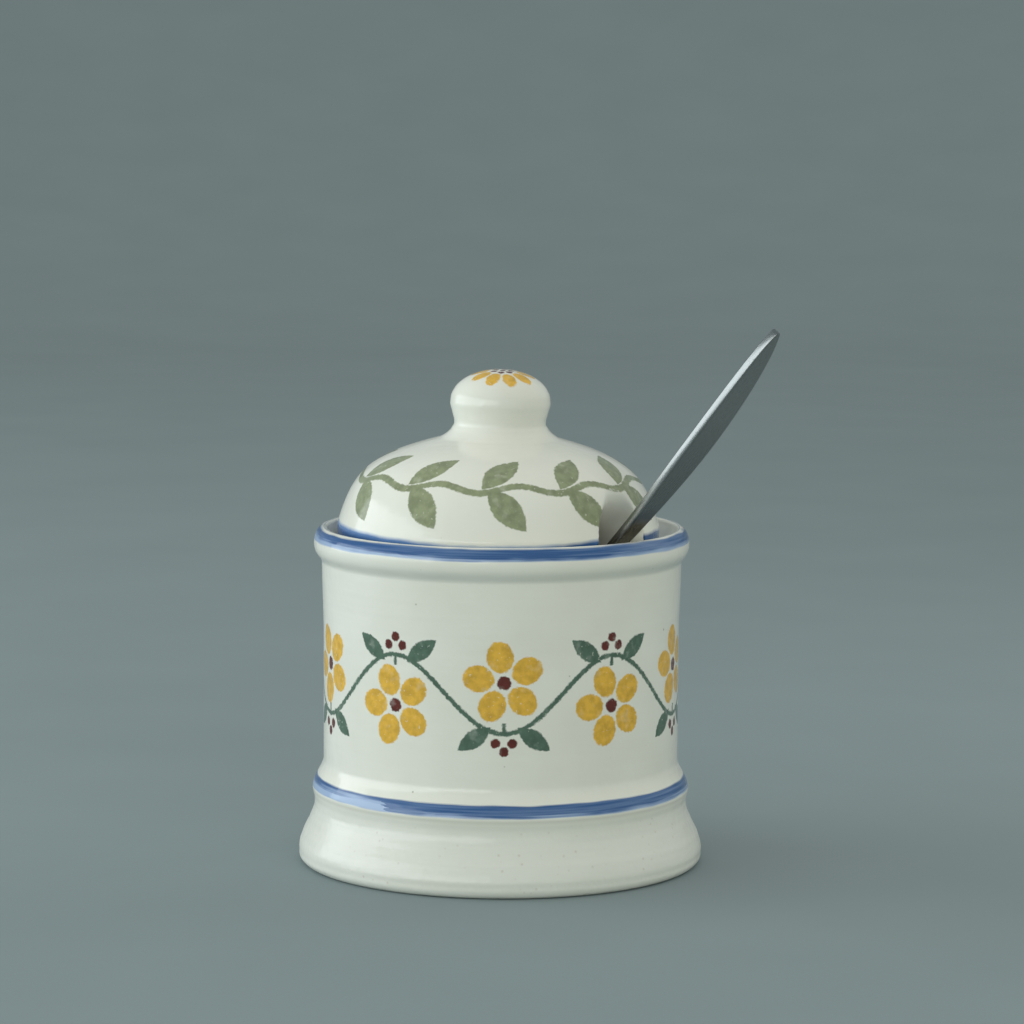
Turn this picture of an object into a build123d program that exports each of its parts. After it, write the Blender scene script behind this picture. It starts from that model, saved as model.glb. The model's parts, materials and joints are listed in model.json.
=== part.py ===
from build123d import *
import os
from math import atan2, cos, degrees, radians, sin, sqrt

# Jam pot: a glazed earthenware pot, its drop-in domed lid and the steel spoon that leans out of it.
# The origin is the centre of the foot on the table, +Z is up, and +X runs through the notch and the spoon.
# Lengths are millimetres, angles are degrees.

# Pot, outside, from the table up
belly_radius = 39.55
pot_height = 75.0
foot_spread = 5.45          # foot edge beyond the belly
foot_edge_height = 3.4      # upright edge of the foot
foot_edge_round = 1.8
foot_height = 13.6          # table to the groove above the foot
groove_step = 1.7           # groove beyond the belly
bead_step = 2.4             # bead beyond the belly
bead_rise = 3.2             # groove to the bead's widest point
bead_fall = 6.4             # bead's widest point down into the belly's straight wall
flare_height = 16.6         # stretch of wall that opens slightly towards the rim
flare_step = 0.55
rim_cove_height = 4.9
rim_step = 2.15             # rim beyond the belly
rim_roll_height = 3.5       # rim's widest point to the top of the lip
rim_roll_width = 2.2
lip_round = 0.8

# Pot, inside and under
wall = 4.2
floor_thickness = 5.5
floor_round = 9.0           # corner between the floor and the wall
base_recess = 2.5
foot_ring_width = 5.0
rim_wall = 4.5              # rim's outside to the ledge's outer corner
ledge_depth = 4.0           # lip to the ledge that carries the lid
ledge_overhang = 2.75       # ledge beyond the inside wall
ledge_thickness = 2.0
ledge_underslope = 3.5

# Lid, heights from its seat on the ledge
lid_play = 0.9              # lid's edge to the rim, all round
lid_wall = 4.2
lid_edge_height = 4.2
lid_edge_round = 0.8
dome_height = 24.2
crown_radius = 13.2         # where the dome meets the knob's neck
shoulder_fullness = 0.395   # pull of the dome's curve at its edge, over its rise
shoulder_lean = 0.18
crown_fullness = 0.735      # pull of the dome's curve at its crown, over its run
crown_slope = 0.143
neck_radius = 10.05
neck_height = 3.0
knob_radius = 10.97
knob_swell_height = 4.8     # neck to the knob's widest point
knob_cap_height = 6.8       # knob's widest point to its top
knob_fullness = 0.6

# Spoon notch, a round scoop that leans outwards as the spoon does
notch_radius = 8.2
notch_depth = 12.3          # at the lid's lower edge
notch_lean = 35.0

# Spoon, lengths from the tip of its bowl
spoon_length = 155.5
bowl_length = 46.0
bowl_width = 28.0
bowl_depth = 6.5
bowl_deepest = 26.0
bowl_metal = 1.2
neck_width = 4.4
neck_thickness = 2.4
neck_drop = 1.3             # neck below the line of the handle's back
neck_lap = 1.6              # neck's hold on the bowl's rim
neck_run = 10.0
shank_length = 70.0         # to where the handle starts to widen
bend_start = 89.0
bend_radius = 320.0
handle_width = 8.1
handle_thickness = 1.4
handle_widest = 21.5        # from the handle's end
spoon_play = 0.25           # spoon's back to the ledge
tip_play = 0.5              # bowl's tip to the pot's corner

# Levels and radii of the pot that several pieces share
foot_radius = belly_radius + foot_spread
rim_radius = belly_radius + rim_step
inside_radius = belly_radius - wall
floor_level = base_recess + floor_thickness
ledge_level = pot_height - ledge_depth
ledge_outer_radius = rim_radius - rim_wall
ledge_inner_radius = inside_radius - ledge_overhang
lid_radius = ledge_outer_radius - lid_play


def ogee(start, end):
    """Curve that leaves its start and meets its end upright, as a turned moulding does."""
    third = (end[1] - start[1]) / 3
    return Bezier(start, (start[0], start[1] + third), (end[0], end[1] - third), end)


def dome(edge, crown):
    """Curve of the lid from its edge to its crown, fuller than a quarter of an ellipse."""
    shoulder_pull = shoulder_fullness * (crown[1] - edge[1])
    crown_pull = crown_fullness * (edge[0] - crown[0])
    shoulder = (edge[0] - shoulder_lean * shoulder_pull, edge[1] + shoulder_pull)
    brow = (crown[0] + crown_pull, crown[1] - crown_slope * crown_pull)
    return Bezier(edge, shoulder, brow, crown)


# Pot
groove_level = foot_height
bead_level = groove_level + bead_rise
belly_level = bead_level + bead_fall
rim_level = pot_height - rim_roll_height
flare_top = rim_level - rim_cove_height
flare_level = flare_top - flare_height
ring_outer_radius = foot_radius - foot_edge_round
ring_inner_radius = ring_outer_radius - foot_ring_width
lip_radius = rim_radius - rim_roll_width
ledge_under = ledge_level - ledge_thickness

with BuildPart() as pot:
    with BuildSketch(Plane.XZ):
        with BuildLine():
            Polyline(
                (0, base_recess),
                (ring_inner_radius - base_recess, base_recess),
                (ring_inner_radius, 0),
                (ring_outer_radius, 0),
            )
            CenterArc((ring_outer_radius, foot_edge_round), foot_edge_round, -90, 90)
            Line((foot_radius, foot_edge_round), (foot_radius, foot_edge_height))
            ogee((foot_radius, foot_edge_height), (belly_radius + groove_step, groove_level))
            ogee((belly_radius + groove_step, groove_level), (belly_radius + bead_step, bead_level))
            ogee((belly_radius + bead_step, bead_level), (belly_radius, belly_level))
            Line((belly_radius, belly_level), (belly_radius, flare_level))
            ogee((belly_radius, flare_level), (belly_radius + flare_step, flare_top))
            ogee((belly_radius + flare_step, flare_top), (rim_radius, rim_level))
            EllipticalCenterArc((lip_radius, rim_level), rim_roll_width, rim_roll_height, 0, arc_size=90)
            CenterArc((lip_radius, pot_height - lip_round), lip_round, 90, 90)
            Polyline(
                (lip_radius - lip_round, pot_height - lip_round),
                (ledge_outer_radius, ledge_level),
                (ledge_inner_radius, ledge_level),
                (ledge_inner_radius, ledge_under),
                (inside_radius, ledge_under - ledge_underslope),
                (inside_radius, floor_level + floor_round),
            )
            CenterArc((inside_radius - floor_round, floor_level + floor_round), floor_round, 0, -90)
            Polyline((inside_radius - floor_round, floor_level), (0, floor_level), (0, base_recess))
        make_face()
    revolve(axis=Axis.Z)

# Lid, whose knob is fired in one with it
seat = Plane(origin=(0, 0, ledge_level), x_dir=(1, 0, 0), z_dir=(0, -1, 0))
neck_level = dome_height + neck_height
knob_level = neck_level + knob_swell_height
knob_top = knob_level + knob_cap_height
neck_pull = neck_height / 2
hollow_radius = lid_radius - lid_wall
hollow_height = dome_height - lid_wall

notch_out = Vector(cos(radians(notch_lean)), 0, -sin(radians(notch_lean)))
notch_back = Vector(lid_radius - notch_depth, 0, ledge_level)
notch = Plane(
    origin=notch_back + notch_out * notch_radius,
    x_dir=(0, 1, 0),
    z_dir=(sin(radians(notch_lean)), 0, cos(radians(notch_lean))),
)
notch_reach = 2 * (dome_height + notch_depth)

with BuildPart() as lid_hollow:
    with BuildSketch(seat):
        with BuildLine():
            Polyline((0, hollow_height), (0, 0), (hollow_radius, 0), (hollow_radius, lid_edge_height))
            dome((hollow_radius, lid_edge_height), (crown_radius, hollow_height))
            Line((crown_radius, hollow_height), (0, hollow_height))
        make_face()
    revolve(axis=Axis.Z)
    # The wall behind the notch stands in the hollow
    with BuildSketch(notch):
        Circle(notch_radius + lid_wall)
    extrude(amount=notch_reach, both=True, mode=Mode.SUBTRACT)

with BuildPart() as lid:
    with BuildSketch(seat):
        with BuildLine():
            Polyline((0, knob_top), (0, 0), (lid_radius - lid_edge_round, 0))
            CenterArc((lid_radius - lid_edge_round, lid_edge_round), lid_edge_round, -90, 90)
            Line((lid_radius, lid_edge_round), (lid_radius, lid_edge_height))
            dome((lid_radius, lid_edge_height), (crown_radius, dome_height))
            Bezier(
                (crown_radius, dome_height),
                (crown_radius - neck_pull, dome_height + crown_slope * neck_pull),
                (neck_radius, neck_level - neck_pull),
                (neck_radius, neck_level),
            )
            ogee((neck_radius, neck_level), (knob_radius, knob_level))
            Bezier(
                (knob_radius, knob_level),
                (knob_radius, knob_level + knob_fullness * knob_cap_height),
                (knob_fullness * knob_radius, knob_top),
                (0, knob_top),
            )
        make_face()
    revolve(axis=Axis.Z)
    add(lid_hollow.part, mode=Mode.SUBTRACT)
    with BuildSketch(notch):
        Circle(notch_radius)
    extrude(amount=notch_reach, both=True, mode=Mode.SUBTRACT)

# Spoon, whose bowl's tip stands in the corner of the pot and whose back leans on the ledge
corner_share = sqrt(0.5) * (floor_round - tip_play)
tip_x = -(inside_radius - floor_round) - corner_share
tip_z = floor_level + floor_round - corner_share
lean_angle = atan2(ledge_inner_radius - spoon_play - tip_x, ledge_level + spoon_play - tip_z)
along = Vector(sin(lean_angle), 0, cos(lean_angle))
upper = Vector(-cos(lean_angle), 0, sin(lean_angle))
side_view = Plane(origin=(tip_x, 0, tip_z), x_dir=along, z_dir=(0, -1, 0))
top_view = Plane(origin=(tip_x, 0, tip_z), x_dir=along, z_dir=upper)

bowl_section_radius = ((bowl_width / 2) ** 2 + bowl_depth**2) / (2 * bowl_depth)
bowl_axis_height = bowl_section_radius - bowl_depth
bowl_axis = Axis(origin=side_view.from_local_coords((0, bowl_axis_height, 0)), direction=along)

with BuildPart() as spoon_bowl:
    with BuildSketch(side_view):
        with BuildLine():
            back = Spline((0, 0), (bowl_deepest, -bowl_depth), (bowl_length, 0))
            hollow = Spline(
                (bowl_metal, 0),
                (bowl_deepest, bowl_metal - bowl_depth),
                (bowl_length - bowl_metal, 0),
            )
            Line(back @ 0, hollow @ 0)
            Line(back @ 1, hollow @ 1)
        make_face()
    revolve(axis=bowl_axis)
    split(bisect_by=top_view, keep=Keep.BOTTOM)

bend_angle = degrees((spoon_length - bend_start) / bend_radius)
front_bend_radius = bend_radius - handle_thickness
handle_end = bend_start + bend_radius * sin(radians(bend_angle))
neck_start = bowl_length - neck_lap
neck_end = bowl_length + neck_run
widest = handle_end - handle_widest
swell_run = (widest - shank_length) / 2
end_pull = handle_widest / 2

with BuildPart() as spoon:
    with BuildSketch(side_view):
        with BuildLine():
            Bezier(
                (neck_start, -neck_drop),
                ((neck_start + neck_end) / 2, -neck_drop),
                ((neck_start + neck_end) / 2, 0),
                (neck_end, 0),
            )
            Line((neck_end, 0), (bend_start, 0))
            back_bend = JernArc((bend_start, 0), (1, 0), bend_radius, bend_angle)
            front_bend = JernArc((bend_start, handle_thickness), (1, 0), front_bend_radius, bend_angle)
            Line(back_bend @ 1, front_bend @ 1)
            Polyline(
                (bend_start, handle_thickness),
                (neck_start, neck_thickness - neck_drop),
                (neck_start, -neck_drop),
            )
        make_face()
    extrude(amount=handle_width, both=True)
    with BuildSketch(top_view):
        with BuildLine():
            Polyline((neck_start, 0), (neck_start, neck_width / 2), (shank_length, neck_width / 2))
            Bezier(
                (shank_length, neck_width / 2),
                (shank_length + swell_run, neck_width / 2),
                (widest - swell_run, handle_width / 2),
                (widest, handle_width / 2),
            )
            Bezier(
                (widest, handle_width / 2),
                (widest + end_pull, handle_width / 2),
                (handle_end, handle_width / 4),
                (handle_end, 0),
            )
            mirror(about=Plane.XZ)
        make_face()
    extrude(amount=spoon_length, both=True, mode=Mode.INTERSECT)
    add(spoon_bowl.part)

# One file for each piece
os.makedirs("parts", exist_ok=True)
pot.part.label = "pot"
lid.part.label = "lid"
spoon.part.label = "spoon"
export_step(pot.part, "parts/pot.step")
export_step(lid.part, "parts/lid.step")
export_step(spoon.part, "parts/spoon.step")
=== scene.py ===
import bpy
import json
import math
import numpy as np
from mathutils import Euler, Matrix, Vector


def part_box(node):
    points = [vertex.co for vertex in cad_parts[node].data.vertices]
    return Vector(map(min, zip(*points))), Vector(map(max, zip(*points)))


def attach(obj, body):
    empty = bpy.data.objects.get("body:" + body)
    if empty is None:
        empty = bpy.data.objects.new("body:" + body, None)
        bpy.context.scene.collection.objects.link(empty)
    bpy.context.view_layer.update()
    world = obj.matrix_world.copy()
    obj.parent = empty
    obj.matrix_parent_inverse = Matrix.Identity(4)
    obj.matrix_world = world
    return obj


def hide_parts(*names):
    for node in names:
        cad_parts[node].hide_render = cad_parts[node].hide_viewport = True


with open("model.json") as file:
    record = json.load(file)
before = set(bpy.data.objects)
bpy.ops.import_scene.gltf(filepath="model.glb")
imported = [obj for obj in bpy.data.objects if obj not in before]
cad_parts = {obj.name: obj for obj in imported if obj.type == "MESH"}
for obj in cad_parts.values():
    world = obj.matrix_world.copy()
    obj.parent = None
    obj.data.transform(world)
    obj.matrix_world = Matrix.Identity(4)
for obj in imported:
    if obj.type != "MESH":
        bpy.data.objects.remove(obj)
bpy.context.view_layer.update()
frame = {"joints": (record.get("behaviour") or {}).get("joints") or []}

# Pot: one thrown and turned earthenware body, dipped in an off-white glaze and fired.
# A brush banded its rim and its bead in blue, and a cut sponge printed the border round its belly.
# It stands on a spreading foot, and a ledge inside its rim carries the lid.
mm = 0.001
foot_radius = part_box("pot")[1].x / mm
pot_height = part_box("pot")[1].z / mm
belly_radius = foot_radius - 5.45
groove_radius = belly_radius + 1.95
bead_radius = belly_radius + 2.45
flare_radius = belly_radius + 0.4
rim_radius = belly_radius + 2.15
lip_radius = rim_radius - 2.2
inside_radius = belly_radius - 4.2
ledge_outer_radius = rim_radius - 4.5
ledge_inner_radius = inside_radius - 2.75
ring_outer_radius = foot_radius - 2.0
ring_inner_radius = ring_outer_radius - 4.8
recess_level = 2.5
foot_round_level = 2.0
foot_edge_level = 3.0
groove_level = 13.7
bead_level = groove_level + 2.9
belly_level = bead_level + 6.6
rim_level = pot_height - 3.4
flare_top_level = rim_level - 4.5
flare_level = flare_top_level - 16.6
cove_round = 1.3
roll_round = 2.6
roll_fullness = 0.15
lip_round = 0.8
ledge_level = pot_height - 4.0
ledge_under_level = ledge_level - 2.0
wall_top_level = ledge_under_level - 3.5
floor_level = recess_level + 5.5
floor_round = 9.0
glaze_softness = 0.7                    # how far the glaze rounds a sharp corner
outside_radius = belly_radius - 1.0     # the pot's outside lies beyond this radius, and its inside within it
ring_depth = 0.006
foot_ring_depth = 0.022
broad_ring_pitch = 3.1
fine_ring_pitch = 1.7


def bend(*pulls, grain=0.45):
    """Bezier curve, the sum over k of C(n, k) (1 - t)^(n - k) t^k times pull k, without its last point."""
    pulls = np.array(pulls, float)
    order = len(pulls) - 1
    length = np.linalg.norm(np.diff(pulls, axis=0), axis=1).sum()
    count = max(3, round(length / grain))
    t = np.arange(count) / count
    weights = [math.comb(order, k) * (1 - t) ** (order - k) * t**k for k in range(order + 1)]
    return np.stack(weights, axis=1) @ pulls


def ogee(start, end):
    """Moulding that leaves its start and meets its end upright."""
    third = (end[1] - start[1]) / 3
    return bend(start, (start[0], start[1] + third), (end[0], end[1] - third), end)


def quarter(start, corner, end):
    """Quarter of an ellipse from start to end, inside the corner of the box that holds it."""
    start, corner, end = (np.array(point, float) for point in (start, corner, end))
    pull = 4 / 3 * (math.sqrt(2) - 1)
    return bend(start, start + pull * (corner - start), end + pull * (corner - end), end, grain=0.3)


def softened(*corners, grain=0.9):
    """Straight runs from corner to corner; a bend that reaches glaze_softness each way rounds a corner."""
    corners = np.array(corners, float)
    runs = np.diff(corners, axis=0)
    reach = glaze_softness * runs / np.linalg.norm(runs, axis=1)[:, None]
    starts = corners[:-1] + reach
    starts[0] = corners[0]
    ends = corners[1:] - reach
    ends[-1] = corners[-1]
    pieces = [bend(starts[0], ends[0], grain=grain)]
    for k in range(1, len(runs)):
        pieces.append(bend(ends[k - 1], corners[k], starts[k], grain=0.25))
        pieces.append(bend(starts[k], ends[k], grain=grain))
    return np.concatenate(pieces)


def skin(name, rings, first_pole, last_pole=None):
    """Mesh over a grid of closed rings: quads from ring to ring, and a fan of triangles to each pole."""
    rows, columns = rings.shape[:2]
    here = np.arange(rows * columns).reshape(rows, columns)
    beside = np.roll(here, -1, axis=1)
    quads = np.stack([here[:-1], beside[:-1], beside[1:], here[1:]], axis=-1).reshape(-1, 4)
    poles = [first_pole]
    first = np.full(columns, rows * columns)
    fans = [np.stack([first, beside[0], here[0]], axis=-1)]
    if last_pole is not None:
        poles.append(last_pole)
        fans.append(np.stack([here[-1], beside[-1], first + 1], axis=-1))
    points = np.concatenate([rings.reshape(-1, 3), poles])
    mesh = bpy.data.meshes.new(name)
    mesh.from_pydata(points.tolist(), [], quads.tolist() + np.concatenate(fans).tolist())
    mesh.shade_smooth()
    piece = bpy.data.objects.new(name, mesh)
    bpy.context.scene.collection.objects.link(piece)
    return piece


def turned(radius, height, angle):
    """Points at that radius and height, in millimetres, turned about the pot's axis by the angle."""
    radius, height, angle = np.broadcast_arrays(radius, height, angle)
    return np.stack([radius * np.cos(angle), radius * np.sin(angle), height], axis=-1) * mm


def turning_rings(radius, height, angle):
    """Ripple of the turning tool: two sines of the height, deepest on the foot, that sway round the pot."""
    foot = 1 / (1 + np.exp((height - groove_level) / 0.8))
    depth = (radius > outside_radius) * (ring_depth + foot_ring_depth * foot)
    broad = np.sin(2 * np.pi * height / broad_ring_pitch + 0.7 * np.sin(angle + 1.0))
    fine = np.sin(2 * np.pi * height / fine_ring_pitch + 1.7 + 0.9 * np.sin(2 * angle))
    return depth * (broad + 0.6 * fine)


pot_outline = np.concatenate([
    softened((0, recess_level), (ring_inner_radius - recess_level, recess_level),
             (ring_inner_radius, 0), (ring_outer_radius, 0)),
    quarter((ring_outer_radius, 0), (foot_radius, 0), (foot_radius, foot_round_level)),
    bend((foot_radius, foot_round_level), (foot_radius, foot_edge_level)),
    ogee((foot_radius, foot_edge_level), (groove_radius, groove_level)),
    ogee((groove_radius, groove_level), (bead_radius, bead_level)),
    ogee((bead_radius, bead_level), (belly_radius, belly_level)),
    bend((belly_radius, belly_level), (belly_radius, flare_level)),
    ogee((belly_radius, flare_level), (flare_radius, flare_top_level)),
    bend((flare_radius, flare_top_level), (flare_radius, flare_top_level + cove_round),
         (rim_radius + roll_fullness, rim_level - roll_round), (rim_radius, rim_level), grain=0.25),
    quarter((rim_radius, rim_level), (rim_radius, pot_height), (lip_radius, pot_height)),
    quarter((lip_radius, pot_height), (lip_radius - lip_round, pot_height),
            (lip_radius - lip_round, pot_height - lip_round)),
    softened((lip_radius - lip_round, pot_height - lip_round), (ledge_outer_radius, ledge_level),
             (ledge_inner_radius, ledge_level), (ledge_inner_radius, ledge_under_level),
             (inside_radius, wall_top_level), (inside_radius, floor_level + floor_round)),
    quarter((inside_radius, floor_level + floor_round), (inside_radius, floor_level),
            (inside_radius - floor_round, floor_level)),
    bend((inside_radius - floor_round, floor_level), (0, floor_level), grain=1.5),
])
pot_columns = 192
pot_angle = np.arange(pot_columns) / pot_columns * 2 * np.pi
pot_radius = pot_outline[1:, :1]
pot_level = pot_outline[1:, 1:]
pot_rings = turned(pot_radius + turning_rings(pot_radius, pot_level, pot_angle), pot_level, pot_angle)
glazed_pot = skin("glazed_pot", pot_rings, (0, 0, recess_level * mm), (0, 0, floor_level * mm))
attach(glazed_pot, "pot")
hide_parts("pot")


class Wire:
    """A socket among a material's nodes: arithmetic adds Math nodes, and node() adds a node of any kind."""

    def __init__(self, tree, socket=None):
        self.tree = tree
        self.socket = socket

    def node(self, kind, settings, sockets, outlet=0):
        """Adds a node, makes its settings, then gives sockets, by name or number, their values or wires."""
        added = self.tree.nodes.new("ShaderNode" + kind)
        for name, setting in settings.items():
            setattr(added, name, setting)
        for name, value in sockets.items():
            if isinstance(value, Wire):
                self.tree.links.new(value.socket, added.inputs[name])
            else:
                added.inputs[name].default_value = value
        return Wire(self.tree, added.outputs[outlet] if added.outputs else None)

    def maths(self, operation, *others, clamp=False):
        """Adds a Math node whose first socket takes this wire and whose others take the others."""
        settings = {"operation": operation, "use_clamp": clamp}
        return self.node("Math", settings, dict(enumerate([self, *others])))

    def __add__(self, other):
        return self.maths("ADD", other)

    def __sub__(self, other):
        return self.maths("SUBTRACT", other)

    def __rsub__(self, other):
        return self.node("Math", {"operation": "SUBTRACT"}, {0: other, 1: self})

    def __mul__(self, other):
        return self.maths("MULTIPLY", other)

    def __mod__(self, other):
        return self.maths("FLOORED_MODULO", other)

    def __abs__(self):
        return self.maths("ABSOLUTE")

    __radd__ = __add__
    __rmul__ = __mul__


def shade(red, green, blue):
    """Linear colour of an sRGB one from 0 to 255: ((c + 0.055) / 1.055) ^ 2.4 for all but the darkest."""
    return (*(((np.array([red, green, blue]) / 255 + 0.055) / 1.055) ** 2.4), 1)


def fresh(name):
    """A new material and the wire that its nodes start from: the place on the piece, in millimetres."""
    material = bpy.data.materials.new(name)
    material.use_nodes = True
    material.node_tree.nodes.clear()
    start = Wire(material.node_tree)
    metres = start.node("TexCoord", {}, {}, "Object")
    return material, start.node("VectorMath", {"operation": "SCALE"}, {0: metres, "Scale": 1 / mm})


def finished(place, sockets):
    """Ends a material's nodes with a shader that has these sockets."""
    shader = place.node("BsdfPrincipled", {}, sockets)
    place.node("OutputMaterial", {}, {"Surface": shader})


def mottle(place, size, detail=2.0, stretch=(1, 1, 1)):
    """Noise, about 0.2 to 0.8, whose features are as large as size, in millimetres, times the stretch."""
    finer = tuple(1 / (size * s) for s in stretch)
    spread = place.node("VectorMath", {"operation": "MULTIPLY"}, {0: place, 1: finer})
    return place.node("TexNoise", {}, {"Vector": spread, "Scale": 1, "Detail": detail})


def inside(distance, softness=0.25):
    """1 inside a painted outline and 0 outside it, for a distance in millimetres that grows outwards."""
    return (distance * (-1 / softness)).maths("ADD", 0.5, clamp=True)


def over(ground, colour, mask):
    """The ground colour with another laid over it where the mask is 1."""
    return mask.node("Mix", {"data_type": "RGBA"}, {0: mask, 6: ground, 7: colour}, 2)


def span(across, along):
    """Distance from the middle of a shape: the root of the sum of the squares."""
    return (across * across + along * along).maths("SQRT")


def leaf(across, up, middle, tilt, half_length, half_width):
    """Distance to a pointed leaf: |q| - half_width (1 - (p / half_length)^2), p along it and q across."""
    across = across - middle[0]
    up = up - middle[1]
    p = across * math.cos(tilt) + up * math.sin(tilt)
    q = up * math.cos(tilt) - across * math.sin(tilt)
    return abs(q) - (1 - p * p * (1 / half_length**2)) * half_width


def petals(across, up, count, start, middle, half_length, half_width):
    """Distance to a ring of oval petals: one is drawn, and the angle round the flower folds into it."""
    step = 2 * math.pi / count
    fold = (up.maths("ARCTAN2", across) + start) % step - step / 2
    reach = span(across, up)
    p = reach * fold.maths("COSINE") - middle
    q = reach * fold.maths("SINE")
    return (span(p * (1 / half_length), q * (1 / half_width)) - 1) * half_width


sponge_pore = 0.7
sponge_patch = 2.4
sponge_ragged = 0.8
pool_size = 1.8
pool_light = 0.76           # the share of its light that a colour keeps where it pools


def sponged(place, ground, colour, distance):
    """A shape printed with a cut sponge: its edge is ragged, its colour pools, and a few pores stay bare."""
    pores = mottle(place, sponge_pore, 3)
    load = mottle(place, sponge_patch, 2).maths("ADD", 0.58, clamp=True)
    holes = inside(0.69 - pores, 0.06) * 0.5
    mask = inside(distance + (pores - 0.5) * sponge_ragged, 0.3)
    pooled = (*(pool_light * part for part in colour[:3]), 1)
    paint = over(colour, pooled, inside(0.52 - mottle(place, pool_size, 3), 0.3))
    return over(ground, paint, mask * load * (1 - holes))


wash_blue = shade(118, 155, 206)
deep_blue = shade(40, 84, 138)
streak_height = 0.5
streak_length = 40          # in streak heights
band_sway = 0.5


def run_round(place, start, middle, slant):
    """Share of a turn, from 0 to 1, that the wheel has made since the brush was set down at the start angle:
    the angle past the start over 2 pi. The brush slants, so its upper corner touched first."""
    x, y, z = (place.node("SeparateXYZ", {}, {0: place}, axis) for axis in "XYZ")
    tail = (mottle(place, 0.6, 2, (20, 20, 1)) - 0.5) * 0.25 + (z - middle) * slant
    return ((y.maths("ARCTAN2", x) - start + tail) * (0.5 / math.pi)).maths("FRACT")


def brushed_blue(place, ground, height, low, high, spent, fullest):
    """Band that a brush leaves on a turning wheel: streaks run round it, and it pales as the brush is spent.
    Its lower edge runs thin, because the load grows with the share of the way up from low to high."""
    streaks = mottle(place, streak_height, 3, (streak_length, streak_length, 1))
    sway = (mottle(place, 9, 1) - 0.5) * band_sway
    level = height + sway + (streaks - 0.5) * 0.5
    mask = inside((low - level).maths("MAXIMUM", level - high), 0.3)
    wander = (mottle(place, 16, 2) - 0.42) * 2.0
    load = (level - low + wander) * (2.8 / (high - low)) + (streaks - 0.5) * 1.8 - spent
    load = load.maths("ADD", 0, clamp=True).maths("MINIMUM", (streaks - 0.5) * 0.9 + fullest)
    blue = over(wash_blue, deep_blue, load)
    return over(ground, blue, mask * (load * 0.25 + 0.73))


leaf_green = shade(88, 114, 97)
petal_yellow = shade(232, 184, 72)
berry_maroon = shade(102, 46, 40)
border_level = 43.0
border_prints = 10          # they stand alternately upright and head down
border_start = 0.3
print_pitch = 2 * math.pi * belly_radius / border_prints
vine_swing = 8.0
vine_half = 0.5
stalk_half = 0.4
stalk_middle = 6.8
stalk_reach = 1.2
far_off = 9.0               # a distance past every print's edge
border_leaf = ((6.4, 9.2), 0.62, 4.4, 1.9)      # its middle, tilt, half length and half width
flower_drop = 3.0
flower_petals = 5
flower_turn = 1.1           # each flower is turned this much further than the last
flower_petal = (5.6, 3.4, 2.9)                  # its middle, half length and half width
heart_radius = 1.5
berry_radius = 1.05
crest_berry = 11.9
side_berry = (1.8, 10.1)


def vine_border(place, ground, within):
    """Vine that waves round the belly at a height of vine_swing cos(pi across / pitch). A flower hangs in
    each arch, and two leaves and three berries stand on its crest."""
    x, y, z = (place.node("SeparateXYZ", {}, {0: place}, axis) for axis in "XYZ")
    turn = y.maths("ARCTAN2", x) * (border_prints / (2 * math.pi)) + border_start
    whole = (turn + 0.5).maths("FLOOR")
    across = (turn - whole) * print_pitch
    number = whole % border_prints
    up = (z - border_level) * (1 - (number % 2) * 2)
    phase = across * (math.pi / print_pitch)
    slope = phase.maths("SINE") * (vine_swing * math.pi / print_pitch)
    steep = (slope * slope + 1).maths("SQRT")
    vine = abs(up - phase.maths("COSINE") * vine_swing).maths("DIVIDE", steep) - vine_half
    beyond_stalk = 1 - inside(abs(up - stalk_middle) - stalk_reach, 0.2)
    stalk = abs(across) - stalk_half + beyond_stalk * far_off
    leaves = leaf(abs(across), up, *border_leaf)
    green = vine.maths("MINIMUM", stalk).maths("MINIMUM", leaves)
    flower_up = up + flower_drop
    yellow = petals(across, flower_up, flower_petals, number * flower_turn, *flower_petal)
    heart = span(across, flower_up) - heart_radius
    top_berry = span(across, up - crest_berry) - berry_radius
    side_berries = span(abs(across) - side_berry[0], up - side_berry[1]) - berry_radius
    maroon = heart.maths("MINIMUM", top_berry).maths("MINIMUM", side_berries)
    for colour, shape in ((leaf_green, green), (petal_yellow, yellow), (berry_maroon, maroon)):
        ground = sponged(place, ground, colour, shape.maths("MAXIMUM", within))
    return ground


# A greyer band just under the bead is painted shade under the bead's overhang.
under_bead_shade = shade(172, 172, 158)
under_bead_shade_level = bead_level - 0.4
under_bead_shade_half = 0.2
paint_cut = 20              # how steeply a band of paint ends where the surface turns inwards
bead_start = math.radians(-85)
bead_slant = 0.06
bead_brush_level = bead_level + 1.65
bead_blue_low = bead_level + 0.35
bead_blue_high = bead_level + 3.08
bead_wear = 1.7
bead_fullest = 0.86
rim_start = math.radians(-81)
rim_slant = 0.13
rim_brush_level = pot_height - 1.5
rim_blue_low = rim_level + 0.68
rim_blue_high = pot_height - 0.22
rim_blue_edge = lip_radius + 0.05
rim_fullest = 0.95
rim_pale_run = 0.245        # the shares of a turn at which the brush ran dry and was pressed again
rim_pressed_run = 0.31


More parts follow.
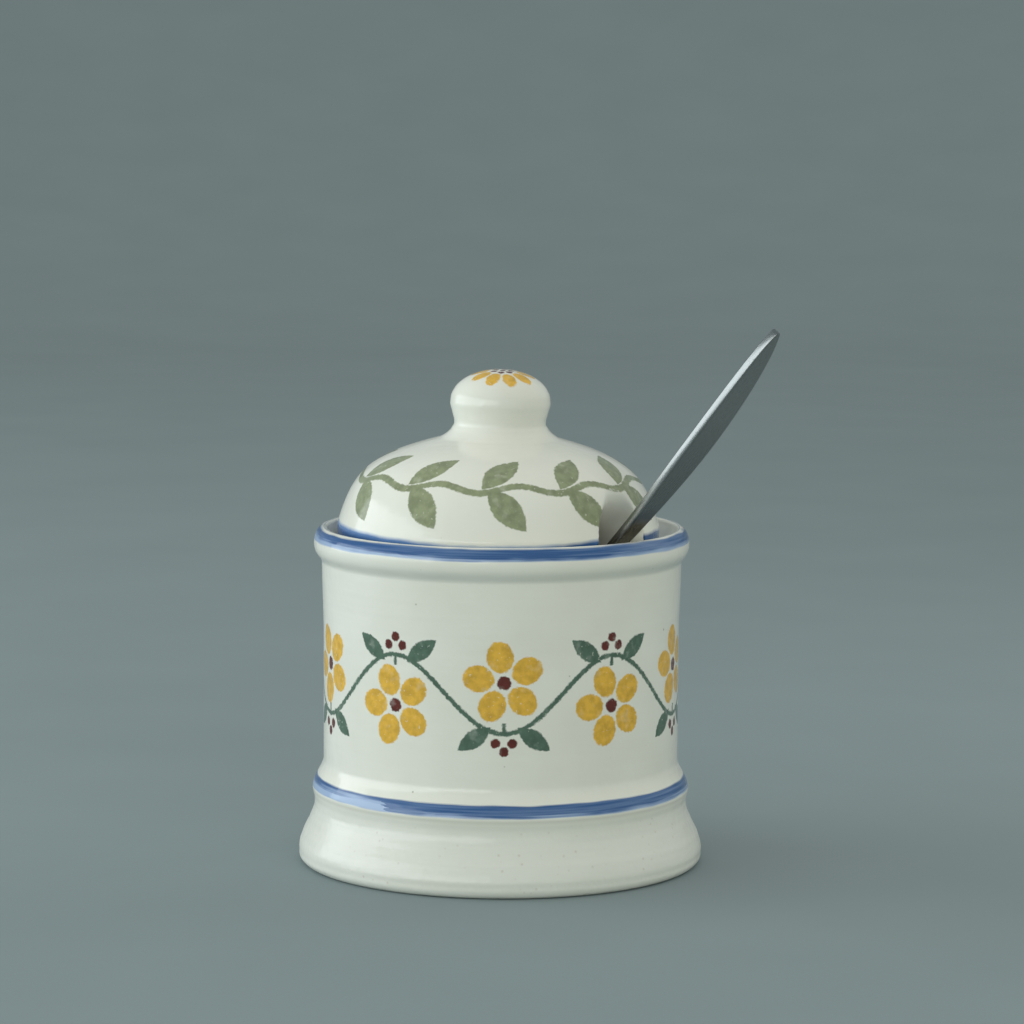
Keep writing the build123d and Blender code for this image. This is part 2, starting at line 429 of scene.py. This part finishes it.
def pot_painting(place, ground):
    """The blue bands on the rim and the bead, and the printed border between them, on the outside alone."""
    x, y, z = (place.node("SeparateXYZ", {}, {0: place}, axis) for axis in "XYZ")
    radius = span(x, y)
    within = outside_radius - radius
    # Painted shade: a greyer band just under the bead, on the outside alone.
    under_bead_shade_mask = (abs(z - under_bead_shade_level) - under_bead_shade_half).maths("MAXIMUM", within)
    ground = over(ground, under_bead_shade, inside(under_bead_shade_mask, 1.0) * 0.5)
    border = vine_border(place, ground, within)
    bead_run = run_round(place, bead_start, bead_brush_level, bead_slant)
    bead_height = z - within.maths("MAXIMUM", 0) * paint_cut
    bead_spent = bead_run * bead_run * bead_wear
    bead = brushed_blue(place, border, bead_height, bead_blue_low, bead_blue_high, bead_spent, bead_fullest)
    rim_run = run_round(place, rim_start, rim_brush_level, rim_slant)
    rim_height = z - (rim_blue_edge - radius).maths("MAXIMUM", 0) * paint_cut
    pressed = inside(abs(rim_run - rim_pressed_run) - 0.03, 0.05)
    # Paling where the brush is spent falls on the lit left side: partly real brushwork, partly a painted
    # highlight.
    rim_spent_and_sheen = rim_run * (rim_run * (1 - rim_run) * 4 + 0.5) - pressed * 0.7
    rim_full = rim_fullest - inside(abs(rim_run - rim_pale_run) - 0.02, 0.05) * 0.4
    return brushed_blue(place, bead, rim_height, rim_blue_low, rim_blue_high, rim_spent_and_sheen, rim_full)


glaze_dull = shade(223, 223, 210)
glaze_bright = shade(236, 236, 226)
foot_grey = shade(212, 214, 205)
grit_brown = shade(168, 146, 126)
grit_pitch = 2.2
grit_radius = 0.24
fleck_brown = shade(112, 100, 88)
fleck_pitch = 5.5
fleck_largest = 0.3
peel_depth = 0.08
glaze_ior = 1.5


def glaze(name, painting):
    """Glossy off-white glaze, faintly uneven and flecked, over what the painting lays on it."""
    material, place = fresh(name)
    ground = over(glaze_dull, glaze_bright, mottle(place, 14, 2))
    height = place.node("SeparateXYZ", {}, {0: place}, "Z")
    foot = inside(height - groove_level, 4.0)
    ground = over(ground, foot_grey, foot * 0.5)
    grit = place.node("TexVoronoi", {}, {"Vector": place, "Scale": 1 / grit_pitch}) * grit_pitch
    patch = inside(0.5 - mottle(place, 22, 2), 0.15)
    ground = over(ground, grit_brown, inside(grit - grit_radius, 0.3) * patch * foot * 0.3)
    cells = {"Vector": place, "Scale": 1 / fleck_pitch}
    fleck = place.node("TexVoronoi", {}, cells) * fleck_pitch
    chance = place.node("TexVoronoi", {}, cells, "Color")       # each cell's own colour, read as a grey
    flecks = inside(fleck - chance * chance * fleck_largest, 0.18) * 0.5
    colour = over(painting(place, ground), fleck_brown, flecks)
    peel = mottle(place, 1.6, 1) * 0.42 + mottle(place, 5, 1) + mottle(place, 1.3, 2, (14, 14, 1)) * 0.28
    peel = peel + foot * (mottle(place, 3.2, 2) * 1.1 + mottle(place, 1.6, 2, (12, 12, 1)) * 0.7)
    bump = place.node("Bump", {}, {"Strength": 1.0, "Distance": peel_depth * mm, "Height": peel})
    gloss = mottle(place, 6, 3) * 0.1 + foot * 0.1 + 0.09
    finished(place, {"Base Color": colour, "Roughness": gloss, "Normal": bump, "IOR": glaze_ior})
    return material


glazed_pot.data.materials.append(glaze("pot_glaze_banded", pot_painting))

# Lid: a thrown dome with its knob in one piece of clay, glazed as the pot is and loose on the pot's ledge.
# A round scoop, leaning outwards, was cut from its edge in the soft clay to let the spoon out.
# Its edge is brushed blue, and a sponge printed the garland on the dome and the rosette on the knob.
lid_radius = ledge_outer_radius - 1.5
lid_wall = 4.2
lid_edge_round = 0.8
lid_edge_level = ledge_level + 4.2
dome_rise = 0.6
dome_run = 0.7
dome_lean = 0.285
crown_level = ledge_level + 23.15
crown_radius = 13.7
crown_slope = 0.275
neck_radius = 10.15
neck_level = crown_level + 3.45
flare_pull = 1.2
knob_radius = 11.13
knob_level = neck_level + 4.7
knob_top_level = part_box("lid")[1].z / mm - 0.3
knob_shoulder = 0.59
knob_crown = 0.555
neck_ridge = 0.16
neck_ridge_half = 0.35
neck_ridge_drop = 1.0
knob_ripple = 0.02
knob_ripple_pitch = 2.2
hollow_radius = lid_radius - lid_wall
hollow_level = crown_level - lid_wall
notch_radius = 8.2
notch_back = lid_radius - 10.4      # the scoop's back at the lid's lower edge
notch_lean = math.radians(30)
no_notch = 1000.0                   # a radius past the lid, for the rays that miss the scoop
arris_round = 0.7
back_round = 3.5                    # the wiped top of the scoop's back, softer than its other edges
back_start = -0.08
back_end = 0.15
back_fade = 0.025
lid_tilt = 0.011                    # dropped in loosely, it sits a little low and off centre on one side
lid_slide = 0.8
lid_turn = 0.046
low_side = np.array([math.cos(math.radians(42)), math.sin(math.radians(42)), 0.0])


def dome(edge, crown):
    """Pulls of the dome's curve, fuller at its shoulder than an ellipse and flatter at its crown."""
    rise = dome_rise * (crown[1] - edge[1])
    run = dome_run * (edge[0] - crown[0])
    shoulder = (edge[0] - dome_lean * rise, edge[1] + rise)
    brow = (crown[0] + run, crown[1] - crown_slope * run)
    return edge, shoulder, brow, crown


def scoop(height, angle, depth):
    """Radius where a ray from the axis meets the scoop's leaning round wall, set back by depth walls.
    It is the lesser root r of ((r cos angle - middle) / deep)^2 + (r sin angle / wide)^2 = 1, and flares
    out past the ray that only touches the wall."""
    wide = notch_radius + lid_wall * depth
    deep = wide / math.cos(notch_lean)
    middle = notch_back + notch_radius / math.cos(notch_lean) + (height - ledge_level) * math.tan(notch_lean)
    square = (np.cos(angle) / deep) ** 2 + (np.sin(angle) / wide) ** 2
    half = middle * np.cos(angle) / deep**2
    inner = half**2 - square * ((middle / deep) ** 2 - 1)
    root = (half - np.sign(inner) * np.sqrt(np.abs(inner))) / square
    return np.where(np.cos(angle) > 0.5, root, no_notch)


def blended_least(first, second, blend):
    """The lesser of two values, rounded where they are within blend of each other."""
    share = np.clip(0.5 + 0.5 * (second - first) / blend, 0, 1)
    return second + (first - second) * share - blend * share * (1 - share)


def dropped_in(points):
    """The lid's points as it sits: tipped by lid_tilt to its low side, slid back, and clear of the ledge."""
    along = points @ low_side
    height = points[..., 2] - ledge_level * mm
    aside = (lid_tilt * height - lid_slide * mm)[..., None] * low_side
    lift = lid_tilt * (lid_radius * mm - along)[..., None] * np.array([0.0, 0.0, 1.0])
    return points + aside + lift


def tool_rings(radius, height):
    """What the turning tool left above the crown: a ridge, exp of minus a square, and a ripple, a sine."""
    above = 1 / (1 + np.exp(-(height - crown_level - 2.0) / 0.3))
    ridge = neck_ridge * np.exp(-(((height - neck_level + neck_ridge_drop) / neck_ridge_half) ** 2))
    ripple = knob_ripple * np.sin(2 * np.pi * height / knob_ripple_pitch) * (radius > 0.6 * knob_radius)
    return above * (ridge + ripple)


def mark(piece, name, values):
    """Keeps one number for each point of a piece, for its material to read."""
    piece.data.attributes.new(name, "FLOAT", "POINT").data.foreach_set("value", values.astype(np.float32))


lid_hollow = np.concatenate([
    bend((0, hollow_level), (crown_radius, hollow_level), grain=1.2),
    bend(*dome((hollow_radius, lid_edge_level), (crown_radius, hollow_level))[::-1], grain=0.8),
    bend((hollow_radius, lid_edge_level), (hollow_radius, ledge_level + glaze_softness), grain=0.8),
])
lid_seat = np.concatenate([
    quarter((hollow_radius, ledge_level + glaze_softness), (hollow_radius, ledge_level),
            (hollow_radius + glaze_softness, ledge_level)),
    bend((hollow_radius + glaze_softness, ledge_level),
         (lid_radius - lid_edge_round, ledge_level), grain=0.8),
    quarter((lid_radius - lid_edge_round, ledge_level), (lid_radius, ledge_level),
            (lid_radius, ledge_level + lid_edge_round)),
])
lid_outside = np.concatenate([
    bend((lid_radius, ledge_level + lid_edge_round), (lid_radius, lid_edge_level)),
    bend(*dome((lid_radius, lid_edge_level), (crown_radius, crown_level))),
    bend((crown_radius, crown_level), (crown_radius - flare_pull, crown_level + flare_pull * crown_slope),
         (neck_radius, neck_level - flare_pull), (neck_radius, neck_level), grain=0.3),
    ogee((neck_radius, neck_level), (knob_radius, knob_level)),
    bend((knob_radius, knob_level),
         (knob_radius, knob_level + knob_shoulder * (knob_top_level - knob_level)),
         (knob_crown * knob_radius, knob_top_level), (0, knob_top_level), grain=0.35),
])
lid_outline = np.concatenate([lid_hollow, lid_seat, lid_outside])[1:]
seat_depth = (lid_radius - lid_seat[:, 0]) / lid_wall
lid_depth = np.concatenate([np.ones(len(lid_hollow) - 1), seat_depth, np.zeros(len(lid_outside))])[:, None]
lid_columns = 320
crowding = 0.85                     # how far the columns crowd together at the notch
column_share = np.arange(lid_columns) / lid_columns * 2 - 1
lid_angle = np.pi * ((1 - crowding) * column_share + crowding * column_share**3)
lid_level = lid_outline[:, 1:]
lid_profile = lid_outline[:, :1] + tool_rings(lid_outline[:, :1], lid_level)
past_start = 1 / (1 + np.exp((back_start - lid_angle) / back_fade))
before_end = 1 / (1 + np.exp((lid_angle - back_end) / back_fade))
scoop_round = arris_round + back_round * (1 - lid_depth) * past_start * before_end
lid_cut = blended_least(lid_profile, scoop(lid_level, lid_angle, lid_depth), scoop_round)
lid_rings = dropped_in(turned(lid_cut, lid_level, lid_angle + lid_turn))
lid_poles = dropped_in(turned(0, np.array([hollow_level, knob_top_level]), 0))
glazed_lid = skin("glazed_lid", lid_rings, *lid_poles)
no_rise = -50.0                     # the way up the outside is set to this underneath, where no paint goes
outside_steps = np.linalg.norm(np.diff(lid_outside, axis=0, prepend=lid_outside[:1]), axis=1)
underneath = np.full(len(lid_outline) - len(lid_outside), no_rise)
lid_rise = np.concatenate([underneath, np.cumsum(outside_steps)])
mark(glazed_lid, "rise", np.append(np.repeat(lid_rise, lid_columns), [no_rise, lid_rise[-1]]))
mark(glazed_lid, "scooped", np.append((lid_profile - lid_cut).ravel(), [0.0, 0.0]))
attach(glazed_lid, "lid")
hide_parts("lid")

sage_green = shade(148, 156, 122)
# The scoop's brown, darkest low down on the wall that faces away from the light, is painted shade.
scoop_shade_brown = shade(88, 76, 48)
scoop_shade_level = ledge_level + 7.0
scoop_shade_fade = 10.0
scoop_shade_side = 2.5
edge_paint_rise = 2.7
edge_paint_swing = 0.75
edge_paint_phase = 0.25
edge_paint_thin = 0.6
edge_paint_fade = 2.0
thin_side = 8.0
notch_shade_angle = 0.36          # the blue deepens on both sides of the notch, a painted shade
notch_shade_half = 0.14
garland_leaves = 11
garland_rise = 15.5
garland_wave = 1.0
garland_half = 0.85
upper_leaf = ((0.2, 4.9), 0.9, 6.2, 2.8)        # its middle, tilt, half length and half width
lower_leaf = ((1.8, -4.8), -0.85, 6.4, 3.0)
rosette_petals = 9
rosette_petal = (0.2, 5.1, 2.2, 1.5)            # its start angle, middle, half length and half width
rosette_shift = 2.0         # printed by hand, a little off the knob's middle
rosette_side = math.radians(42)
seed_dots = 6
seed_dot = (0.5, 1.9, 0.7, 0.7)
middle_dot = 0.65


def lid_painting(place, ground):
    """Blue edge, a garland of paired leaves on a ring round the dome, and a rosette on the knob. None of it
    lies in the scoop, which is darkened brown low down on one side as painted shade."""
    x, y, z = (place.node("SeparateXYZ", {}, {0: place}, axis) for axis in "XYZ")
    rise = place.node("Attribute", {"attribute_name": "rise"}, {}, "Fac")
    bare = place.node("Attribute", {"attribute_name": "scooped"}, {}, "Fac") - 0.3
    bare = bare.maths("MAXIMUM", rise * -1)
    radius = span(x, y)
    turn = y.maths("ARCTAN2", x) * (garland_leaves / (2 * math.pi)) + 0.5
    across = (turn - (turn + 0.5).maths("FLOOR")) * radius * (2 * math.pi / garland_leaves)
    up = rise - garland_rise
    ring = abs(up - (turn * (2 * math.pi)).maths("SINE") * garland_wave) - garland_half
    upper = leaf(across, up, *upper_leaf)
    lower = leaf(across, up, *lower_leaf)
    garland = ring.maths("MINIMUM", upper).maths("MINIMUM", lower).maths("MAXIMUM", bare)
    knob = knob_level - z
    aside = x - rosette_shift * math.sin(rosette_side)
    ahead = y + rosette_shift * math.cos(rosette_side)
    rosette = petals(aside, ahead, rosette_petals, *rosette_petal).maths("MAXIMUM", knob)
    seeds = petals(aside, ahead, seed_dots, *seed_dot)
    seeds = seeds.maths("MINIMUM", span(aside, ahead) - middle_dot).maths("MAXIMUM", knob)
    for colour, shape in ((sage_green, garland), (petal_yellow, rosette), (berry_maroon, seeds)):
        ground = sponged(place, ground, colour, shape)
    scooped = inside(0.4 - bare, 1.0)
    # Painted shade: brown low in the scoop, on the wall that faces away from the light.
    low = inside(z - scoop_shade_level + (mottle(place, 3, 2) - 0.5) * 3, scoop_shade_fade)
    ground = over(ground, scoop_shade_brown, scooped * low * inside(y - scoop_shade_side, 5.0) * 0.9)
    wave = (turn * (4 * math.pi / garland_leaves) - edge_paint_phase).maths("SINE")
    by_notch = x.maths("DIVIDE", radius + 1).maths("MAXIMUM", 0).maths("POWER", 14) * inside(y, 4.0)
    swing = (wave + by_notch) * edge_paint_swing
    thin = inside(thin_side - y, 6.0) * edge_paint_thin
    edge = edge_paint_rise + swing - thin - rise - bare.maths("MAXIMUM", 0) * paint_cut
    # Painted shade: the blue edge deepens on both sides of the notch.
    notch_shade = inside(abs(abs(y.maths("ARCTAN2", x)) - notch_shade_angle) - notch_shade_half, 0.15) * 0.6
    load = (edge * (1 / edge_paint_fade) + (mottle(place, 7, 2) - 0.5) * 0.5).maths("ADD", 0.5, clamp=True)
    blue = over(wash_blue, deep_blue, (load + notch_shade).maths("MINIMUM", 1.0))
    return over(ground, blue, (load * 2.2).maths("MINIMUM", 1.0))


glazed_lid.data.materials.append(glaze("lid_glaze_printed", lid_painting))

# Spoon: one stamping of stainless steel, polished once and scuffed by use since.
# Its bowl's tip stands in the corner of the pot and its back leans on the ledge, so the handle
# rises through the lid's scoop and curves gently upwards to a rounded end.
spoon_length = 156.1
bowl_length = 46.0
bowl_half_width = 14.0
bowl_depth = 6.5
bowl_deepest = 26.0
bowl_metal = 1.2
neck_half_width = 2.2
neck_drop = 1.3
neck_start = bowl_length - 1.6
neck_end = bowl_length + 10.0
neck_top = 1.1
shank_length = 70.0
bend_start = 85.0
bend_radius = 410.0
handle_half_width = 4.36
handle_thickness = 1.85
swell_start = shank_length + 14.0
handle_widest = spoon_length - 32.0
end_point = 0.58
flank_bulge = 0.07
edge_round = 0.35
neck_edge_round = 0.8
edge_ease_start = shank_length + 2.0
edge_ease_end = shank_length + 26.0
edge_draft = 0.055          # the die leaves the underside this much wider each side, and the face narrower
tip_clearance = 0.5
draw_axis = next(joint["axis"] for joint in frame["joints"] if joint["name"] == "spoon_draw")
spoon_along = np.array(draw_axis) / np.linalg.norm(draw_axis)
spoon_side = np.array([0.0, 1.0, 0.0])
spoon_upper = np.cross(spoon_along, spoon_side)
corner_reach = math.sqrt(0.5) * (floor_round - tip_clearance)
tip_inset = floor_round - corner_reach
spoon_tip = np.array([tip_inset - inside_radius, 0, floor_level + tip_inset])


def eased(value, low, high):
    """0 below low, 1 above high and 3 t^2 - 2 t^3 between them."""
    t = np.clip((value - low) / (high - low), 0, 1)
    return t * t * (3 - 2 * t)


spoon_rows = 520
end_crowding = 0.9          # how far the rows crowd together at both ends
row_share = np.linspace(0, 1, spoon_rows)[:, None]
station = spoon_length * (row_share - end_crowding * np.sin(2 * np.pi * row_share) / (2 * np.pi))
bowl_skew = math.log(0.5) / math.log(bowl_deepest / bowl_length)
bowl_share = np.clip(station / bowl_length, 0, 1) ** bowl_skew
bowl_sag = bowl_depth * 4 * bowl_share * (1 - bowl_share)
bowl_axis = (bowl_half_width**2 - bowl_depth**2) / (2 * bowl_depth)
bowl_half = np.sqrt(bowl_sag**2 + 2 * bowl_axis * bowl_sag)
in_handle = eased(station, neck_start - 8, neck_start)
handle_swell = (handle_half_width - neck_half_width) * eased(station, swell_start, handle_widest)
end_share = np.clip((station - handle_widest) / (spoon_length - handle_widest), 0, 1)
handle_half = (neck_half_width + handle_swell) * in_handle * (1 - end_share**2) ** end_point
half_width = -blended_least(-bowl_half, -handle_half, 1.5 * in_handle + 0.001)
neck_back = -neck_drop * (1 - eased(station, neck_start, neck_end))
back = np.where(station < bowl_length, np.minimum(-bowl_sag, neck_back * in_handle), neck_back)
thickening = np.clip((station - neck_start) / (bend_start - neck_start), 0, 1)
front = neck_top + (handle_thickness - neck_top) * thickening
thickness = bowl_metal + (front - back - bowl_metal) * in_handle

# Each section is a loop: half of it runs along the back, round a corner, up a flank and round the next
# corner, and the other half is the same turned by half a turn.
flat = np.linspace(-1, 1, 25)[1:-1]
upright = np.linspace(-1, 1, 5)[1:-1]
corner = np.linspace(0, np.pi / 2, 6)
flat_end = np.ones(len(flat))
upright_end = np.ones(len(upright))
corner_end = np.ones(len(corner))
half_across = np.concatenate([flat, corner_end, upright_end, corner_end])
half_up = np.concatenate([-flat_end, -corner_end, upright, corner_end])
half_turn = np.concatenate([flat_end * -np.pi / 2, corner - np.pi / 2, upright_end * 0, corner])
loop_across = np.concatenate([half_across, -half_across])
loop_up = np.concatenate([half_up, -half_up])
loop_turn = np.concatenate([half_turn, half_turn + np.pi])
edge_ease = eased(station, edge_ease_start, edge_ease_end)
rounding = neck_edge_round + (edge_round - neck_edge_round) * edge_ease
rounding = np.minimum(rounding, np.minimum(0.45 * thickness, 0.9 * half_width))
drawn_in = edge_draft * loop_up - flank_bulge * (1 - loop_up**2)
flat_half = half_width - rounding - in_handle * drawn_in
across = flat_half * loop_across + rounding * np.cos(loop_turn)
dish = bowl_sag * np.clip(across / np.maximum(half_width, 0.01), -1, 1) ** 2
up = back + dish + thickness / 2 + (thickness / 2 - rounding) * loop_up + rounding * np.sin(loop_turn)
turn = np.clip(station - bend_start, 0, None) / bend_radius
ahead = np.minimum(station, bend_start) + (bend_radius - up) * np.sin(turn)
lifted = bend_radius - (bend_radius - up) * np.cos(turn)
spoon_points = (spoon_tip + ahead[..., None] * spoon_along + lifted[..., None] * spoon_upper
                + across[..., None] * spoon_side) * mm
spoon_ends = spoon_points[[0, -1]].mean(axis=1)
steel_spoon = skin("steel_spoon", spoon_points[1:-1], *spoon_ends)
mark(steel_spoon, "flank", np.append(np.tile(np.abs(np.cos(loop_turn)), spoon_rows - 2), [1.0, 1.0]))
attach(steel_spoon, "spoon")
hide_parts("spoon")

steel_dark = shade(145, 148, 147)
steel_light = shade(173, 175, 173)
# Darker grey and brown on the spoon near the scoop: painted shade and painted reflection.
painted_shade_grey = shade(104, 108, 106)
painted_reflection_brown = shade(74, 63, 32)
painted_shade_length = spoon_tip @ spoon_along + 102.0     # painted shade and painted reflection of the shaded scoop reach up to here
painted_grey_length = painted_shade_length + 14.0
painted_shade_end = painted_shade_length - 34.0                 # and they fade below here, towards the bowl
scratch_width = 0.16
scratch_length = 45                                 # in scratch widths
scratch_depth = 0.004


def worn_steel():
    """Polished steel with fine scratches along the spoon, a few nicks, and patches dulled by washing. Above
    the bowl it is darkened grey and brown, a painted shade and painted reflection, less on its flanks
    than on its face."""
    material, place = fresh("spoon_steel_worn")
    length, width, height = (
        place.node("VectorMath", {"operation": "DOT_PRODUCT"}, {0: place, 1: tuple(axis)}, "Value")
        for axis in (spoon_along, spoon_side, spoon_upper)
    )
    grain_place = place.node("CombineXYZ", {}, {0: length, 1: width, 2: height})
    grain = mottle(grain_place, scratch_width, 2, (scratch_length, 1, 1))
    nicks = inside(0.7 - mottle(place, 0.5, 2), 0.05)
    patches = mottle(place, 7, 3)
    steel = over(steel_dark, steel_light, grain)
    flank = place.node("Attribute", {"attribute_name": "flank"}, {}, "Fac")
    shade_ending = inside(length - painted_shade_end, 20.0)
    painted_grey = inside(length - painted_grey_length, 36.0) * (1 - flank) * (1 - shade_ending * 0.6)
    painted_brown_reach = inside(length - painted_shade_length + (patches - 0.5) * 8, 5.0)
    painted_brown = painted_brown_reach * (1 - flank * 0.75) * (1 - shade_ending * 0.75)
    colour = over(over(steel, painted_shade_grey, painted_grey * 0.7), painted_reflection_brown, painted_brown * 0.86)
    roughness = patches * 0.16 + grain * 0.12 + nicks * 0.2 + 0.14
    relief = grain - nicks * 0.8
    bump = place.node("Bump", {}, {"Strength": 0.25, "Distance": scratch_depth * mm, "Height": relief})
    finished(place, {"Base Color": colour, "Metallic": 1.0, "Roughness": roughness, "Normal": bump})
    return material


steel_spoon.data.materials.append(worn_steel())

# Studio: a pale floor that curves up all round like a photographer's paper sweep, and soft light
# from the left. The camera stands where the photograph was taken from, a little above the pot.
camera_turn = math.radians(42.2)
camera_distance = 853.7
camera_height = 178.3
camera_pitch = math.radians(6.694)
camera_yaw = math.radians(0.151)
camera_roll = math.radians(0.33)
camera_lens = 135.97
camera_sensor = 36.0
sweep_start = 1500.0
sweep_end = 2600.0
sweep_height = 450.0
sweep_drop = 0.02           # a hair below the foot
sweep_columns = 96
paper_dull = shade(129, 143, 145)
paper_bright = shade(135, 149, 151)


def paper_sweep():
    """Floor that is flat out to sweep_start, then rises as the square of the way from there to its edge."""
    flat_reach = np.linspace(20, sweep_start, 12)
    risen_reach = np.linspace(sweep_start, sweep_end, 40)[1:]
    reach = np.concatenate([flat_reach, risen_reach])[:, None]
    rise = np.clip(reach - sweep_start, 0, None) / (sweep_end - sweep_start)
    angle = -np.arange(sweep_columns) / sweep_columns * 2 * np.pi
    rings = turned(reach, sweep_height * rise**2 - sweep_drop, angle)
    return skin("paper_sweep", rings, (0, 0, -sweep_drop * mm))


def paper():
    """Plain pale paper with the faintest unevenness."""
    material, place = fresh("sweep_paper")
    colour = over(paper_dull, paper_bright, mottle(place, 60, 2))
    finished(place, {"Base Color": colour, "Roughness": 0.9})
    return material


floor = paper_sweep()
floor.data.materials.append(paper())

white = (1.0, 1.0, 1.0)
cool_white = (0.88, 0.95, 0.99)
warm_white = (0.97, 1.0, 0.92)


def soft_lamp(name, turn, distance, height, aim_height, width, depth, energy, colour):
    """Stands a flat soft lamp round the pot, turned from the camera's side and aimed at the axis."""
    angle = camera_turn + math.radians(turn)
    place = Vector((math.sin(angle) * distance, -math.cos(angle) * distance, height)) * mm
    lamp = bpy.data.objects.new(name, bpy.data.lights.new(name, "AREA"))
    lamp.data.shape = "RECTANGLE"
    lamp.data.size = width * mm
    lamp.data.size_y = depth * mm
    lamp.data.energy = energy
    lamp.data.color = colour
    lamp.location = place
    lamp.rotation_euler = (Vector((0, 0, aim_height * mm)) - place).to_track_quat("-Z", "Y").to_euler()
    bpy.context.scene.collection.objects.link(lamp)
    return lamp


soft_lamp("softbox", turn=-83, distance=1050, height=290, aim_height=290,
          width=1800, depth=560, energy=6.6, colour=cool_white)
window = soft_lamp("window", turn=-100, distance=1050, height=240, aim_height=120,
                   width=800, depth=450, energy=3.2, colour=cool_white)
fill = soft_lamp("fill", turn=22, distance=1250, height=200, aim_height=60,
                 width=800, depth=800, energy=4.9, colour=warm_white)
panel = soft_lamp("panel", turn=-25, distance=1400, height=290, aim_height=80,
                  width=1050, depth=400, energy=2.4, colour=white)
reflector = soft_lamp("reflector", turn=120, distance=420, height=300, aim_height=80,
                      width=250, depth=250, energy=0.24, colour=white)
window.visible_glossy = False
fill.visible_glossy = False
panel.visible_diffuse = False
reflector.visible_glossy = False
room_light = (0.625, 0.645, 0.625, 1)
room_colour = shade(140, 153, 156)


def soft_room():
    """Even light from all round, while the camera, metal and gloss see the sweep's colour past its edge."""
    world = bpy.data.worlds.new("soft_room")
    world.use_nodes = True
    world.node_tree.nodes.clear()
    start = Wire(world.node_tree)
    rays = ("Is Camera Ray", "Is Glossy Ray", "Is Transmission Ray")
    camera_ray, glossy_ray, clear_ray = (start.node("LightPath", {}, {}, ray) for ray in rays)
    seen = camera_ray.maths("MAXIMUM", glossy_ray).maths("MAXIMUM", clear_ray)
    colour = over(room_light, room_colour, seen)
    shader = start.node("Background", {}, {"Color": colour, "Strength": 1.0})
    start.node("OutputWorld", {}, {"Surface": shader})
    return world


bpy.context.scene.world = soft_room()

camera = bpy.data.objects.new("camera", bpy.data.cameras.new("camera"))
camera.data.sensor_width = camera_sensor
camera.data.lens = camera_lens
camera_side = Vector((math.sin(camera_turn), -math.cos(camera_turn), 0))
camera.location = (camera_side * camera_distance + Vector((0, 0, camera_height))) * mm
level_aim = Euler((math.pi / 2 - camera_pitch, 0, camera_turn - camera_yaw)).to_matrix()
camera.rotation_euler = (level_aim @ Matrix.Rotation(camera_roll, 3, "Z")).to_euler()
bpy.context.scene.collection.objects.link(camera)
bpy.context.scene.camera = camera
bpy.context.scene.view_settings.view_transform = "Standard"
